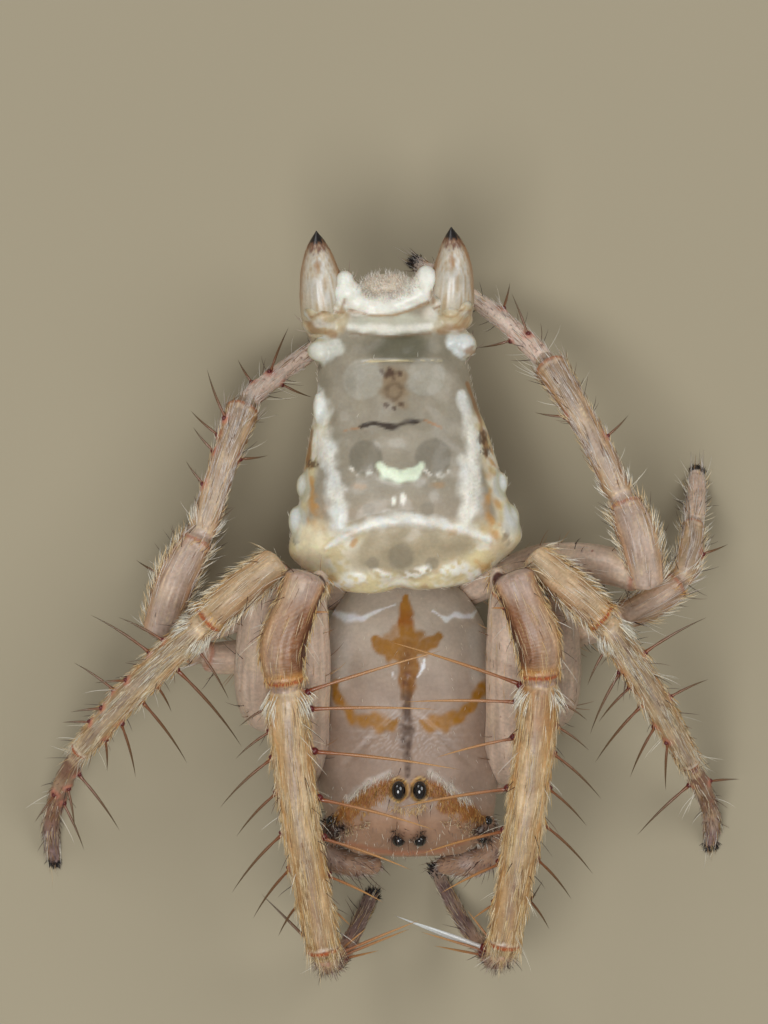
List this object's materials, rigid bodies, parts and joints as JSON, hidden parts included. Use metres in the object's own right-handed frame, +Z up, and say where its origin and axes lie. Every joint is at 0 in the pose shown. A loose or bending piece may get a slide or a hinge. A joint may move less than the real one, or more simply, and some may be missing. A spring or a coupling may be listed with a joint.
{
  "type": "arkys furcatus spider",
  "caption": "Still, life-size ambush spider with a triangular abdomen forked into horns behind, spiny folded front legs and clustered eyes, standing on its feet.",
  "frame": {"origin": "on the floor under the middle of the whole spider's box, with the feet at z = 0", "axes": "+Z up; the head points along -Y and the horns along +Y; +X is the spider's own left"},
  "size_m": [0.0102, 0.0106, 0.0041],
  "materials": {
    "leg_skin": "translucent tan skin with straw-gold hairs and orange-brown spines",
    "abdomen_skin": "grey-pink glassy skin with white and ochre margins",
    "carapace": "glossy translucent pinkish shell with orange-brown marks",
    "horn": "whitish striated horn with brown edges and a black tip",
    "jaw": "glossy brown shell",
    "palp_skin": "grey-pink skin with short dark hairs",
    "eye": "glossy black lens"
  },
  "bodies": {
    "root": {"abdomen": "abdomen_skin", "cephalothorax": "carapace", "chelicera_left": "jaw", "chelicera_right": "jaw", "eye_front_lateral_left": "eye", "eye_front_lateral_right": "eye", "eye_front_median_left": "eye", "eye_front_median_right": "eye", "eye_rear_lateral_left": "eye", "eye_rear_lateral_right": "eye", "eye_rear_median_left": "eye", "eye_rear_median_right": "eye", "horn_left": "horn", "horn_right": "horn", "leg1_left_coxa": "leg_skin", "leg1_left_femur": "leg_skin", "leg1_left_foot": "leg_skin", "leg1_left_patella": "leg_skin", "leg1_left_tibia": "leg_skin", "leg1_right_coxa": "leg_skin", "leg1_right_femur": "leg_skin", "leg1_right_foot": "leg_skin", "leg1_right_patella": "leg_skin", "leg1_right_tibia": "leg_skin", "leg2_left_coxa": "leg_skin", "leg2_left_femur": "leg_skin", "leg2_left_foot": "leg_skin", "leg2_left_patella": "leg_skin", "leg2_left_tibia": "leg_skin", "leg2_right_coxa": "leg_skin", "leg2_right_femur": "leg_skin", "leg2_right_foot": "leg_skin", "leg2_right_patella": "leg_skin", "leg2_right_tibia": "leg_skin", "leg3_left_coxa": "leg_skin", "leg3_left_femur": "leg_skin", "leg3_left_foot": "leg_skin", "leg3_left_patella": "leg_skin", "leg3_left_tibia": "leg_skin", "leg3_right_coxa": "leg_skin", "leg3_right_femur": "leg_skin", "leg3_right_foot": "leg_skin", "leg3_right_patella": "leg_skin", "leg3_right_tibia": "leg_skin", "leg4_left_coxa": "leg_skin", "leg4_left_femur": "leg_skin", "leg4_left_foot": "leg_skin", "leg4_left_patella": "leg_skin", "leg4_left_tibia": "leg_skin", "leg4_right_coxa": "leg_skin", "leg4_right_femur": "leg_skin", "leg4_right_foot": "leg_skin", "leg4_right_patella": "leg_skin", "leg4_right_tibia": "leg_skin", "palp_left": "palp_skin", "palp_right": "palp_skin", "spinnerets": "abdomen_skin"}
  },
  "joints": []
}
